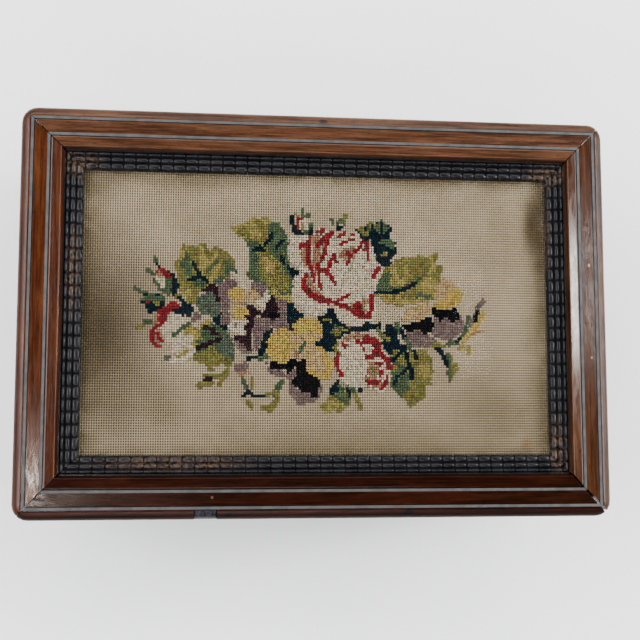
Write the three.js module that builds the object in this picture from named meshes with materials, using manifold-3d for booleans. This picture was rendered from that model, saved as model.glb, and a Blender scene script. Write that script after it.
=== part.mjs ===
import * as THREE from "three";
import { mergeVertices } from "three/addons/utils/BufferGeometryUtils.js";
import Module from "manifold-3d";

// A small wooden box with a framed needlepoint panel in its lift-off lid.
// Millimetres, +Z up, X along the long side, Y from the front to the back.
// The origin is at the middle of the underside.

const wasm = await Module();
wasm.setup();

// Lid frame, seen from above: insets are measured inward from the outer edge of the lid
const LID_LENGTH = 287;
const LID_WIDTH = 196;
const LID_CORNER_RADIUS = 7.5;
const RAIL_THICKNESS = 13;
const EDGE_ROUND_DROP = 4;
const EDGE_ROUND_REACH = 4.2;
const UNDER_EDGE_ROUND = 1.6;
const RAIL_FACE_WIDTH = 20.8;
const INNER_BAND_RISE = 2.1;
const INNER_ARRIS_WIDTH = 0.8;
const INNER_ARRIS_DROP = 0.4;
const INNER_COVE_WIDTH = 0.7;
const INNER_COVE_DROP = 2.7;
const RAIL_MITRE_GAP = 0.3;
const OPEN_MITRE_GAP = 1.5;

// Two lines of pewter stringing let into the face
const OUTER_STRING_INSET = 4.9;
const INNER_STRING_INSET = 12.7;
const STRING_WIDTH = 1.3;
const STRING_DEPTH = 1.2;
const STRING_GLUE_GAP = 0.4;

// Ripple slip between the rails and the glass
const SLIP_EDGE_WIDTH = 0.3;
const SLIP_EDGE_THICKNESS = 0.5;
const SLIP_FILLET_WIDTH = 0.7;
const SLIP_FILLET_HEIGHT = 4.1;
const SLIP_GROOVE_WIDTH = 0.3;
const RIPPLE_PITCH = 5.95;
const RIPPLE_DEPTH = 0.8;
const OUTER_ROW_WIDTH = 1.8;
const OUTER_ROW_CREST = 4.7;
const OUTER_ROW_GROOVE = 3.2;
const MIDDLE_ROW_WIDTH = 2.5;
const MIDDLE_ROW_CREST = 4.0;
const MIDDLE_ROW_GROOVE = 2.8;
const INNER_ROW_WIDTH = 3.0;
const INNER_ROW_CREST = 3.2;
const INNER_ROW_GROOVE = 2.2;

// Glass, needlepoint and backing board, lying on the ledge of the rails
const GLASS_THICKNESS = 2;
const NEEDLEPOINT_THICKNESS = 1.2;
const BACKING_THICKNESS = 2.6;
const GLAZING_CLEARANCE = 0.4;
const LEDGE_UNDER_SLIP = 2.2;
const LEDGE_THICKNESS = 6.6;

// Body under the lid
const LID_OVERHANG = 6;
const WALL_THICKNESS = 8;
const WALL_HEIGHT = 92;
const WALL_CORNER_RADIUS = 2.5;
const WALL_MITRE_GAP = 0.12;
const LID_FIT_CLEARANCE = 0.5;
const BASE_THICKNESS = 8;
const BASE_PROJECTION = 3;
const BASE_ROUND = 2.2;
const BASE_CORNER_RADIUS = 5;

// An old repair in the front edge of the lid
const PATCH_CENTRE = -54.2;
const PATCH_LENGTH = 10.2;
const PATCH_DEPTH = 7;
const PATCH_SUNK = 0.5;
const PATCH_CLEARANCE = 0.3;

// Steps of the round stretches
const CORNER_STEPS = 5;
const EDGE_STEPS = 4;
const CUT_MARGIN = 4;

const rippleRows = [
  { width: OUTER_ROW_WIDTH, crest: OUTER_ROW_CREST, groove: OUTER_ROW_GROOVE },
  { width: MIDDLE_ROW_WIDTH, crest: MIDDLE_ROW_CREST, groove: MIDDLE_ROW_GROOVE },
  { width: INNER_ROW_WIDTH, crest: INNER_ROW_CREST, groove: INNER_ROW_GROOVE },
];
const wallTop = BASE_THICKNESS + WALL_HEIGHT;
const face = wallTop + RAIL_THICKNESS;
const slipInset = RAIL_FACE_WIDTH;
const rowsWidth = rippleRows.reduce((sum, row) => sum + row.width + SLIP_GROOVE_WIDTH, 0);
const sightInset = slipInset + SLIP_FILLET_WIDTH + rowsWidth + SLIP_EDGE_WIDTH;
const ledgeInset = sightInset - LEDGE_UNDER_SLIP;
const stepInset = LID_OVERHANG + WALL_THICKNESS + LID_FIT_CLEARANCE;
const slipSeat = face - INNER_COVE_DROP + INNER_BAND_RISE - SLIP_FILLET_HEIGHT;
const glassSeat = slipSeat - GLASS_THICKNESS;
const needlepointSeat = glassSeat - NEEDLEPOINT_THICKNESS;
const ledgeTop = needlepointSeat - BACKING_THICKNESS;
const lidUnderside = ledgeTop - LEDGE_THICKNESS;

const SIDES = [
  { name: "front", turn: 0, length: LID_LENGTH, reach: LID_WIDTH },
  { name: "right", turn: Math.PI / 2, length: LID_WIDTH, reach: LID_LENGTH },
  { name: "back", turn: Math.PI, length: LID_LENGTH, reach: LID_WIDTH },
  { name: "left", turn: -Math.PI / 2, length: LID_WIDTH, reach: LID_LENGTH },
];

// Solids from closed triangle meshes, and back

function solid(geometry) {
  const bare = geometry.index ? geometry.toNonIndexed() : geometry.clone();
  bare.deleteAttribute("normal");
  bare.deleteAttribute("uv");
  const merged = mergeVertices(bare, 1e-4);
  return new wasm.Manifold(
    new wasm.Mesh({
      numProp: 3,
      vertProperties: merged.attributes.position.array,
      triVerts: new Uint32Array(merged.index.array),
    }),
  );
}

function geometryOf(manifold) {
  const mesh = manifold.getMesh();
  const geometry = new THREE.BufferGeometry();
  geometry.setAttribute("position", new THREE.BufferAttribute(mesh.vertProperties, 3));
  geometry.setIndex(new THREE.BufferAttribute(mesh.triVerts, 1));
  geometry.computeVertexNormals();
  return geometry;
}

function closedMesh(points, faces) {
  const geometry = new THREE.BufferGeometry();
  geometry.setAttribute("position", new THREE.Float32BufferAttribute(points.flat(), 3));
  geometry.setIndex(faces.flat());
  return geometry;
}

// A stack of equal rings of points, closed by flat caps at its two ends
function ringStack(rings, capOutline) {
  const count = rings[0].length;
  const caps = THREE.ShapeUtils.triangulateShape(
    capOutline.map(([x, y]) => new THREE.Vector2(x, y)),
    [],
  );
  const faces = [];
  for (let r = 0; r + 1 < rings.length; r += 1) {
    for (let i = 0; i < count; i += 1) {
      const a = r * count + i;
      const b = r * count + ((i + 1) % count);
      faces.push([a, b, b + count], [a, b + count, a + count]);
    }
  }
  const last = (rings.length - 1) * count;
  for (const [a, b, c] of caps) {
    faces.push([a, c, b], [last + a, last + b, last + c]);
  }
  return closedMesh(rings.flat(), faces);
}

// A slab with rounded corners whose edge follows a list of [inset, height]
function roundedSlab(length, width, radius, edge) {
  const rings = edge.map(([inset, height]) => {
    const ring = [];
    for (let corner = 0; corner < 4; corner += 1) {
      const signX = corner === 1 || corner === 2 ? -1 : 1;
      const signY = corner < 2 ? 1 : -1;
      for (let step = 0; step <= CORNER_STEPS; step += 1) {
        const angle = ((corner + step / CORNER_STEPS) * Math.PI) / 2;
        const x = signX * (length / 2 - radius) + (radius - inset) * Math.cos(angle);
        const y = signY * (width / 2 - radius) + (radius - inset) * Math.sin(angle);
        ring.push([x, y, height]);
      }
    }
    return ring;
  });
  return ringStack(rings, rings[0]);
}

// A bar along one side of the frame; section points are [inset, height], going round
// so that stations along the bar may each have their own heights
function sideBar(side, sectionAt, stations) {
  const rings = stations.map((along) =>
    sectionAt(along).map(([inset, height]) => [along, -side.reach / 2 + inset, height]),
  );
  const outline = sectionAt(stations[0]);
  const bar = ringStack(rings, outline);
  return bar.rotateZ(side.turn);
}

function straightBar(side, section) {
  const end = side.length / 2 + CUT_MARGIN;
  return sideBar(side, () => section, [-end, end]);
}

// The space between the two mitre cuts of a side; startExtra and endExtra open a
// mitre at its outer end
function mitreWedge(side, gap, depth, startExtra = 0, endExtra = 0) {
  const half = side.length / 2;
  const out = half + CUT_MARGIN - gap / Math.SQRT2;
  const inner = half - depth - gap / Math.SQRT2;
  const plan = new THREE.Shape([
    new THREE.Vector2(-out + startExtra, -side.reach / 2 - CUT_MARGIN),
    new THREE.Vector2(out - endExtra, -side.reach / 2 - CUT_MARGIN),
    new THREE.Vector2(inner, -side.reach / 2 + depth),
    new THREE.Vector2(-inner, -side.reach / 2 + depth),
  ]);
  const wedge = new THREE.ExtrudeGeometry(plan, {
    depth: face + 2 * CUT_MARGIN,
    bevelEnabled: false,
  });
  return solid(wedge.translate(0, 0, -CUT_MARGIN).rotateZ(side.turn));
}

const group = new THREE.Group();

function addPiece(name, geometry, material) {
  const mesh = new THREE.Mesh(geometry, material);
  mesh.name = name;
  group.add(mesh);
}

const rosewood = new THREE.MeshStandardMaterial({ color: 0x5c2c17, roughness: 0.35 });
const pewter = new THREE.MeshStandardMaterial({ color: 0x77746f, roughness: 0.45, metalness: 1 });
const ebonised = new THREE.MeshStandardMaterial({ color: 0x1b1a1a, roughness: 0.35 });
const filler = new THREE.MeshStandardMaterial({ color: 0x2a2630, roughness: 0.5 });
const canvasWork = new THREE.MeshStandardMaterial({ color: 0x96876e, roughness: 0.95 });
const deal = new THREE.MeshStandardMaterial({ color: 0x9a7a50, roughness: 0.8 });
const clearGlass = new THREE.MeshStandardMaterial({
  color: 0xf4f8f6,
  roughness: 0.02,
  transparent: true,
  opacity: 0.15,
});

// The outside of the lid: a soft upper edge, an upright side and a lower edge eased a little
function lidOutside() {
  const edge = [
    [UNDER_EDGE_ROUND, wallTop - CUT_MARGIN],
    [UNDER_EDGE_ROUND, wallTop],
    [UNDER_EDGE_ROUND / 3, wallTop + UNDER_EDGE_ROUND / 2],
    [0, wallTop + UNDER_EDGE_ROUND],
  ];
  for (let step = 0; step <= EDGE_STEPS; step += 1) {
    const angle = (step / EDGE_STEPS) * (Math.PI / 2);
    edge.push([
      EDGE_ROUND_REACH * (1 - Math.cos(angle)),
      face - EDGE_ROUND_DROP * (1 - Math.sin(angle)),
    ]);
  }
  edge.push([EDGE_ROUND_REACH, face + CUT_MARGIN]);
  return solid(roundedSlab(LID_LENGTH, LID_WIDTH, LID_CORNER_RADIUS, edge));
}

// A groove in the face for one line of stringing, from its outer to its inner wall
function stringGroove(inset) {
  const inner = inset + STRING_WIDTH + STRING_GLUE_GAP;
  return [
    [inner, face],
    [inner, face - STRING_DEPTH],
    [inset, face - STRING_DEPTH],
    [inset, face],
  ];
}

// Section of a rail, counter-clockwise from its lower outer corner: step that drops
// into the body, ledge, cove beside the slip, rising inner band and the two grooves
function railSection() {
  const bandStart = INNER_STRING_INSET + STRING_WIDTH + STRING_GLUE_GAP;
  const coveStart = slipInset - INNER_COVE_WIDTH;
  const arrisStart = coveStart - INNER_ARRIS_WIDTH;
  return [
    [-CUT_MARGIN, wallTop],
    [stepInset, wallTop],
    [stepInset, lidUnderside],
    [ledgeInset, lidUnderside],
    [ledgeInset, ledgeTop],
    [slipInset, ledgeTop],
    [slipInset, face + INNER_BAND_RISE - INNER_COVE_DROP],
    [coveStart, face + INNER_BAND_RISE - INNER_ARRIS_DROP],
    [(coveStart + arrisStart) / 2, face + INNER_BAND_RISE],
    [arrisStart, face + INNER_BAND_RISE],
    [bandStart + INNER_ARRIS_WIDTH, face],
    ...stringGroove(INNER_STRING_INSET),
    ...stringGroove(OUTER_STRING_INSET),
    [-CUT_MARGIN, face],
  ];
}

function patchBlock(grow) {
  const depth = OUTER_STRING_INSET - PATCH_CLEARANCE - grow + CUT_MARGIN + 2 * grow;
  const block = new THREE.BoxGeometry(
    PATCH_LENGTH + 2 * grow,
    depth,
    PATCH_DEPTH + CUT_MARGIN + grow,
  );
  const middleY = -LID_WIDTH / 2 - CUT_MARGIN + depth / 2;
  const middleZ = face - PATCH_DEPTH - grow + (PATCH_DEPTH + CUT_MARGIN + grow) / 2;
  return solid(block.translate(PATCH_CENTRE, middleY, middleZ));
}

function lidRails() {
  const outside = lidOutside();
  const section = railSection();
  const openExtra = OPEN_MITRE_GAP / Math.SQRT2;
  for (const side of SIDES) {
    const startExtra = side.name === "right" ? openExtra : 0;
    const endExtra = side.name === "front" ? openExtra : 0;
    const wedge = mitreWedge(side, RAIL_MITRE_GAP, ledgeInset + CUT_MARGIN, startExtra, endExtra);
    let rail = solid(straightBar(side, section)).intersect(wedge).intersect(outside);
    if (side.name === "front") {
      rail = rail.subtract(patchBlock(PATCH_CLEARANCE));
    }
    addPiece("lid_rail_" + side.name, geometryOf(rail), rosewood);
  }
  const patchSkin = solid(
    geometryOf(outside).translate(0, PATCH_SUNK, -PATCH_SUNK),
  );
  const patch = patchBlock(0).intersect(outside).intersect(patchSkin);
  addPiece("lid_edge_patch", geometryOf(patch), filler);
}

function stringing() {
  const lines = [
    ["outer", OUTER_STRING_INSET],
    ["inner", INNER_STRING_INSET],
  ];
  for (const [place, inset] of lines) {
    const section = [
      [inset, face - STRING_DEPTH],
      [inset + STRING_WIDTH, face - STRING_DEPTH],
      [inset + STRING_WIDTH, face],
      [inset, face],
    ];
    for (const side of SIDES) {
      const wedge = mitreWedge(side, RAIL_MITRE_GAP, ledgeInset);
      const strip = solid(straightBar(side, section)).intersect(wedge);
      addPiece("stringing_" + place + "_" + side.name, geometryOf(strip), pewter);
    }
  }
}

// Section of the slip with its rows lowered by dip, as the ripple cutter leaves them
function slipSection(dip) {
  const points = [
    [slipInset, slipSeat],
    [sightInset, slipSeat],
    [sightInset, slipSeat + SLIP_EDGE_THICKNESS],
  ];
  let inset = slipInset + SLIP_FILLET_WIDTH;
  const rows = [];
  for (const row of rippleRows) {
    rows.push({ ...row, start: inset + SLIP_GROOVE_WIDTH, end: inset + row.width });
    inset += row.width + SLIP_GROOVE_WIDTH;
  }
  for (const row of rows.reverse()) {
    const high = slipSeat + row.crest - dip;
    const shoulder = (row.end - row.start) / 4;
    if (row !== rows[0]) {
      points.push([row.end + SLIP_GROOVE_WIDTH, slipSeat + row.groove - dip]);
    }
    points.push([row.end - shoulder / 2, high - shoulder / 2]);
    points.push([row.start + shoulder, high]);
  }
  const fillet = slipInset + SLIP_FILLET_WIDTH;
  points.push([fillet + SLIP_GROOVE_WIDTH / 2, slipSeat + OUTER_ROW_GROOVE]);
  points.push([fillet, slipSeat + SLIP_FILLET_HEIGHT]);
  points.push([slipInset, slipSeat + SLIP_FILLET_HEIGHT]);
  return points;
}

// Crests and valleys follow each other along the slip, half a pitch apart
function rippleSlips() {
  for (const side of SIDES) {
    const halves = 2 * Math.ceil((side.length / 2 - slipInset + CUT_MARGIN) / RIPPLE_PITCH);
    const stations = [];
    for (let i = -halves; i <= halves; i += 1) {
      stations.push((i * RIPPLE_PITCH) / 2);
    }
    const sectionAt = (along) => {
      const valley = Math.abs(Math.round((2 * along) / RIPPLE_PITCH)) % 2 === 1;
      return slipSection(valley ? RIPPLE_DEPTH : 0);
    };
    const wedge = mitreWedge(side, RAIL_MITRE_GAP, sightInset + CUT_MARGIN);
    const slip = solid(sideBar(side, sectionAt, stations)).intersect(wedge);
    addPiece("ripple_slip_" + side.name, geometryOf(slip), ebonised);
  }
}

function sheetInLid(name, bottom, thickness, material) {
  const inset = slipInset + GLAZING_CLEARANCE;
  const sheet = new THREE.BoxGeometry(LID_LENGTH - 2 * inset, LID_WIDTH - 2 * inset, thickness);
  addPiece(name, sheet.translate(0, 0, bottom + thickness / 2), material);
}

function glazing() {
  sheetInLid("lid_glass", glassSeat, GLASS_THICKNESS, clearGlass);
  sheetInLid("needlepoint", needlepointSeat, NEEDLEPOINT_THICKNESS, canvasWork);
  sheetInLid("backing_board", ledgeTop, BACKING_THICKNESS, deal);
}

// Four mitred walls with the corners of the body eased
function walls() {
  const outer = LID_OVERHANG;
  const length = LID_LENGTH - 2 * outer;
  const width = LID_WIDTH - 2 * outer;
  const outside = solid(
    roundedSlab(length, width, WALL_CORNER_RADIUS, [
      [0, BASE_THICKNESS - CUT_MARGIN],
      [0, wallTop + CUT_MARGIN],
    ]),
  );
  const section = [
    [outer - CUT_MARGIN, BASE_THICKNESS],
    [outer + WALL_THICKNESS, BASE_THICKNESS],
    [outer + WALL_THICKNESS, wallTop],
    [outer - CUT_MARGIN, wallTop],
  ];
  for (const side of SIDES) {
    const wedge = mitreWedge(side, WALL_MITRE_GAP, outer + WALL_THICKNESS + CUT_MARGIN);
    const wall = solid(straightBar(side, section)).intersect(wedge).intersect(outside);
    addPiece("wall_" + side.name, geometryOf(wall), rosewood);
  }
}

function baseBoard() {
  const grow = 2 * (BASE_PROJECTION - LID_OVERHANG);
  const edge = [
    [BASE_ROUND / 3, 0],
    [0, BASE_ROUND / 3],
    [0, BASE_THICKNESS - BASE_ROUND],
  ];
  for (let step = 1; step <= EDGE_STEPS; step += 1) {
    const angle = (step / EDGE_STEPS) * (Math.PI / 2);
    edge.push([
      BASE_ROUND * (1 - Math.cos(angle)),
      BASE_THICKNESS - BASE_ROUND * (1 - Math.sin(angle)),
    ]);
  }
  const board = roundedSlab(LID_LENGTH + grow, LID_WIDTH + grow, BASE_CORNER_RADIUS, edge);
  addPiece("base_board", board, rosewood);
}

lidRails();
stringing();
rippleSlips();
glazing();
walls();
baseBoard();

export default group;
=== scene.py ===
import math

import bpy
import numpy as np
from mathutils import Matrix, Vector


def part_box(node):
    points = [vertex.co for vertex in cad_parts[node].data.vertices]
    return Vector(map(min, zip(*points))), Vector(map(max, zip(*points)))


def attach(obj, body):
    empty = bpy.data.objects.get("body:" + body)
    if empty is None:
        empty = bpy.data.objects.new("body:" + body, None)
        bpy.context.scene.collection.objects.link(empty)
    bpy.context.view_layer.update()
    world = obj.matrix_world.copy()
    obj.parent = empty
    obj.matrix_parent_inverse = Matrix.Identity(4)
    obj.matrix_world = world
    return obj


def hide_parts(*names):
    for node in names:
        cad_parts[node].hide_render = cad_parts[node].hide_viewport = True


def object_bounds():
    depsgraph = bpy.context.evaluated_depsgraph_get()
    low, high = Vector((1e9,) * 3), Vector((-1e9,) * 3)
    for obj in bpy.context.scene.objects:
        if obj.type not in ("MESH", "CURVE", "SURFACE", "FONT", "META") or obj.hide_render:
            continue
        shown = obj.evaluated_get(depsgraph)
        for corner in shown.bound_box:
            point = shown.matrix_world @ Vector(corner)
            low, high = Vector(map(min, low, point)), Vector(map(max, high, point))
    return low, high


# A rosewood box with a Berlin-work bouquet under glass in its lid, seen from almost straight above.
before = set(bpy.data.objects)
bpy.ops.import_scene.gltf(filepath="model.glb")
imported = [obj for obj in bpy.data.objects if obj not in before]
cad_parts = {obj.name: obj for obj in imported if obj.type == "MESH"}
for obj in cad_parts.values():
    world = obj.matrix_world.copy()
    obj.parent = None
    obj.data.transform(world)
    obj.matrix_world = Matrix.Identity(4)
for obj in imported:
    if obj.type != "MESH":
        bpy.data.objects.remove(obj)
cad_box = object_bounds()

MM = 0.001
SIDES = {"front": 0, "right": 90, "back": 180, "left": 270}
LID_LENGTH = cad_box[1].x - cad_box[0].x
LID_WIDTH = cad_box[1].y - cad_box[0].y

# Ripple slip: each row has a width, a crest and a groove, in millimetres over its seat on the glass
SLIP_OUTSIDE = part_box("ripple_slip_front")[0].y
SLIP_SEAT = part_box("ripple_slip_front")[0].z
SLIP_ROWS = [(1.8, 4.7, 3.2), (2.5, 4.0, 2.8), (3.0, 3.2, 2.2)]
SLIP_FILLET_WIDTH = 0.7
SLIP_FILLET_HEIGHT = 4.1
SLIP_GROOVE = 0.3
SLIP_GROOVE_DROP = 0.2
SLIP_EDGE = 0.5
SLIP_MITRE_GAP = 0.3 * MM
RIPPLE_PITCH = 5.95 * MM
RIPPLE_DEPTH = 1.0
RIPPLE_STEPS = 14
ROW_STEPS = 6

# Shares of an arch cut off at the ends of a row, and powers that make a row and a ripple fuller than a sine
ROW_ENDS = 0.08
ROW_FULLNESS = 0.4
RIPPLE_FULLNESS = 0.3

# Edges of the wooden pieces, eased by sanding, in millimetres
RAIL_EASE = 0.1
WALL_EASE = 0.3
BASE_EASE = 0.2
PATCH_EASE = 0.25

# Canvas: one warp and one weft thread at each crossing, woven plain, so that they touch and don't cut
CANVAS_LOW, CANVAS_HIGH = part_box("needlepoint")
WARP_PITCH = 1.157 * MM
WEFT_PITCH = 1.244 * MM
THREAD_WIDTH = 0.62 * MM
THREAD_HEIGHT = 0.42 * MM
THREAD_WAVE = THREAD_HEIGHT / 2
THREAD_FLOAT = 0.03 * MM
CANVAS_MARGIN = 0.6 * MM
WINDOW_COLUMNS = 99
WINDOW_ROWS = 55

# Stitch: a fat crossed loop of wool over one crossing, which leaves the holes at its corners open
STITCH_CORNERS = 8
STITCH_WIDTH = 1.26 * MM
STITCH_LENGTH = 1.35 * MM
STITCH_FOOT = 0.2 * MM
STITCH_HEIGHT = 0.85 * MM
STITCH_SHOULDER = 0.62
STITCH_TOP_SHARE = 0.7
STITCH_LEAN = 0.025 * MM
STITCH_PUFF = 0.03
DYE_SPREAD = 0.16
HUE_SPREAD = 0.07


# Objects

def wake(piece):
    """Leaves only this object selected and active."""
    bpy.ops.object.select_all(action="DESELECT")
    piece.select_set(True)
    bpy.context.view_layer.objects.active = piece


def named(name):
    """The active object, under a name of its own."""
    piece = bpy.context.object
    piece.name = name
    piece.data.name = name
    return piece


def edit(piece, test=None):
    """Goes into edit mode with the vertices selected whose place passes the test, or with all."""
    wake(piece)
    bpy.context.tool_settings.mesh_select_mode = (True, False, False)
    bpy.ops.object.mode_set(mode="EDIT")
    bpy.ops.mesh.select_all(action="DESELECT" if test else "SELECT")
    if test:
        bpy.ops.object.mode_set(mode="OBJECT")
        piece.data.vertices.foreach_set("select", [test(v.co) for v in piece.data.vertices])
        bpy.ops.object.mode_set(mode="EDIT")


def leave_edit():
    bpy.ops.object.mode_set(mode="OBJECT")


def select_rims():
    """Selects the open edges of the mesh in edit mode."""
    bpy.ops.mesh.select_all(action="DESELECT")
    bpy.ops.mesh.select_non_manifold(extend=False)


def face_outwards():
    """Turns all faces outwards and leaves edit mode."""
    bpy.ops.mesh.select_all(action="SELECT")
    bpy.ops.mesh.normals_make_consistent(inside=False)
    leave_edit()


def settle(piece):
    """Puts the object's own place, turn and scale into its mesh."""
    wake(piece)
    bpy.ops.object.transform_apply(location=True, rotation=True, scale=True)


def modify(piece, kind, **settings):
    """Adds a modifier with its settings and applies it."""
    wake(piece)
    modifier = piece.modifiers.new(kind.title(), kind)
    for setting, value in settings.items():
        setattr(modifier, setting, value)
    bpy.ops.object.modifier_apply(modifier=modifier.name)


def repeat(piece, count, step):
    modify(piece, "ARRAY", use_relative_offset=False, use_constant_offset=True, count=count,
           constant_offset_displace=step, use_merge_vertices=True, merge_threshold=0.02 * MM)


def smooth(piece, angle):
    wake(piece)
    bpy.ops.object.shade_smooth_by_angle(angle=math.radians(angle))


def finish_piece(piece, finish, slot, *nodes):
    """The piece gets its finish, rides on the box and stands for the nodes."""
    settle(piece)
    piece.data.materials.clear()
    piece.data.materials.append(finish)
    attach(piece, "root")
    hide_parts(*nodes)


def eased(node, width, finish, slot):
    """A copy of a wooden node with its edges eased by the width in millimetres, as sanding leaves them."""
    wake(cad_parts[node])
    bpy.ops.object.duplicate()
    piece = named(node + "_eased")
    piece.parent = None
    edit(piece)
    bpy.ops.mesh.remove_doubles(threshold=0.001 * MM)
    bpy.ops.mesh.dissolve_limited(angle_limit=math.radians(0.5))
    leave_edit()
    modify(piece, "BEVEL", width=width * MM, segments=2, limit_method="ANGLE",
           angle_limit=math.radians(38), use_clamp_overlap=False)
    smooth(piece, 30)
    modify(piece, "WEIGHTED_NORMAL", keep_sharp=True)
    finish_piece(piece, finish, slot, node)


# Materials

def paint(code):
    """Linear colour of an sRGB hex code."""
    parts = [int(code[i:i + 2], 16) / 255 for i in (1, 3, 5)]
    return [c / 12.92 if c <= 0.04045 else ((c + 0.055) / 1.055) ** 2.4 for c in parts] + [1.0]


def add(tree, kind, inputs, **settings):
    """Adds a node, sets it, fills its inputs with values or links, and gives back its first live output."""
    made = tree.nodes.new(kind)
    for setting, value in settings.items():
        setattr(made, setting, value)
    for key, value in inputs.items():
        if isinstance(value, bpy.types.NodeSocket):
            tree.links.new(value, made.inputs[key])
        else:
            made.inputs[key].default_value = value
    return next(output for output in made.outputs if output.enabled)


def blank_material(name):
    """A new material, its node tree and its Principled shader."""
    finish = bpy.data.materials.new(name)
    finish.use_nodes = True
    return finish, finish.node_tree, finish.node_tree.nodes["Principled BSDF"]


def shade(tree, shader, colour, relief, strength, depth, **values):
    """Links colour and relief to the shader and sets its plain values; a socket as a value is linked."""
    bump = add(tree, "ShaderNodeBump", {"Height": relief, "Strength": strength, "Distance": depth * MM})
    for key, value in {"Base Color": colour, "Normal": bump, **values}.items():
        if isinstance(value, bpy.types.NodeSocket):
            tree.links.new(value, shader.inputs[key.replace("_", " ")])
        else:
            shader.inputs[key.replace("_", " ")].default_value = value


def millimetres(tree, turn=0.0, shift=(0, 0, 0)):
    """Object coordinates in millimetres, turned about the upright axis."""
    place = tree.nodes.new("ShaderNodeTexCoord").outputs["Object"]
    return add(tree, "ShaderNodeMapping", {"Vector": place, "Location": shift, "Rotation": (0, 0, turn),
                                           "Scale": (1000, 1000, 1000)})


def calc(tree, operation, *values):
    return add(tree, "ShaderNodeMath", dict(enumerate(values)), operation=operation)


def mixed(tree, share, first, second, blend="MIX"):
    """Mix of two colours, which may be hex codes or sockets."""
    first, second = (paint(c) if isinstance(c, str) else c for c in (first, second))
    return add(tree, "ShaderNodeMix", {0: share, 6: first, 7: second}, data_type="RGBA", blend_type=blend)


def band(tree, value, low, high, at_low=0.0, at_high=1.0):
    """Runs smoothly from at_low to at_high while the value runs from low to high."""
    limits = {"Value": value, "From Min": low, "From Max": high, "To Min": at_low, "To Max": at_high}
    return add(tree, "ShaderNodeMapRange", limits, interpolation_type="SMOOTHSTEP")


def noise(tree, place, size, stretch=(1, 1, 1), detail=3.0, rough=0.55, warp=0.0):
    """Cloudy noise with spots of about the size in millimetres, longer where the stretch is under one."""
    vector = add(tree, "ShaderNodeVectorMath", {0: place, 1: stretch}, operation="MULTIPLY")
    return add(tree, "ShaderNodeTexNoise", {"Vector": vector, "Scale": 1 / size, "Detail": detail,
                                            "Roughness": rough, "Distortion": warp})


def coordinates(tree):
    """The three coordinates in millimetres of any point."""
    parts = tree.nodes.new("ShaderNodeSeparateXYZ")
    tree.links.new(millimetres(tree), parts.inputs[0])
    return list(parts.outputs)


def insets(tree):
    """Distances in millimetres of any point from the nearest end and from the nearest long side of the lid."""
    x, y, z = coordinates(tree)
    from_end = calc(tree, "SUBTRACT", LID_LENGTH / 2 / MM, calc(tree, "ABSOLUTE", x))
    from_side = calc(tree, "SUBTRACT", LID_WIDTH / 2 / MM, calc(tree, "ABSOLUTE", y))
    return from_end, from_side


def over_backing(tree):
    """Height in millimetres of any point over the underside of the canvas."""
    return calc(tree, "SUBTRACT", coordinates(tree)[2], CANVAS_LOW.z / MM)


def spot(tree, centre, reach, core=0.0):
    """One in the core around a place on the lid, falling to nothing at the reach, in millimetres."""
    offset = add(tree, "ShaderNodeVectorMath", {0: millimetres(tree), 1: centre}, operation="SUBTRACT")
    inverse = (1 / reach[0], 1 / reach[1], 0)
    share = add(tree, "ShaderNodeVectorMath", {0: offset, 1: inverse}, operation="MULTIPLY")
    return band(tree, add(tree, "ShaderNodeVectorMath", {0: share}, operation="LENGTH"), core, 1.0, 1.0, 0.0)


def rosewood(name, turn, shift, dark, middle, light, gloss, marks=()):
    """Rosewood under old French polish: fine streaks, short dark pores and a gloss rubbed dull in patches."""
    finish, tree, shader = blank_material(name)
    grain = millimetres(tree, turn, shift)
    drift = noise(tree, grain, 8.0, (0.14, 1, 1), 3.0, 0.55, 0.6)
    streak = noise(tree, grain, 0.9, (0.035, 1, 1), 4.0, 0.65, 0.4)
    hair = noise(tree, grain, 0.4, (0.05, 1, 1), 2.0, 0.5)
    pore = band(tree, noise(tree, grain, 0.35, (0.14, 1, 1), 1.0, 0.4), 0.60, 0.70)
    wood = mixed(tree, band(tree, streak, 0.38, 0.62), dark, middle)
    wood = mixed(tree, band(tree, drift, 0.45, 0.75, 0.0, 0.7), wood, light)
    wood = mixed(tree, band(tree, hair, 0.4, 0.68, 0.0, 0.4), wood, dark)
    wood = mixed(tree, calc(tree, "MULTIPLY", pore, 0.6), wood, "#120502")
    from_end, from_side = insets(tree)
    off_mitre = calc(tree, "ABSOLUTE", calc(tree, "SUBTRACT", from_end, from_side))
    wood = mixed(tree, band(tree, off_mitre, 0.2, 0.7, 0.7, 0.0), wood, "#0e0503")
    for centre, reach, tint in marks:
        wood = mixed(tree, spot(tree, centre, reach, 0.5), wood, tint)
    worn = noise(tree, grain, 2.2, (0.3, 1, 1), 4.0, 0.7)
    relief = calc(tree, "ADD", calc(tree, "SUBTRACT", hair, pore), calc(tree, "MULTIPLY", worn, 0.6))
    rim = band(tree, calc(tree, "MINIMUM", from_end, from_side), 2.5, 4.6, 0.3, 0.0)
    shade(tree, shader, wood, relief, 0.15, 0.05, Specular_IOR_Level=gloss,
          Roughness=calc(tree, "ADD", rim, band(tree, worn, 0.38, 0.62, 0.11, 0.21)))
    return finish


def pewter():
    """Pewter: a dull grey metal line, tarnished in soft patches and a little pitted."""
    finish, tree, shader = blank_material("pewter, tarnished")
    place = millimetres(tree)
    tarnish = noise(tree, place, 6.0)
    pit = noise(tree, place, 0.4, detail=2.0)
    grey = mixed(tree, band(tree, tarnish, 0.35, 0.65), "#434445", "#353637")
    grey = mixed(tree, band(tree, pit, 0.58, 0.75, 0.0, 0.4), grey, "#2a2b2e")
    dull = band(tree, tarnish, 0.3, 0.7, 0.45, 0.6)
    shade(tree, shader, grey, pit, 0.25, 0.04, Roughness=dull, Metallic=0.5)
    return finish


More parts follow.
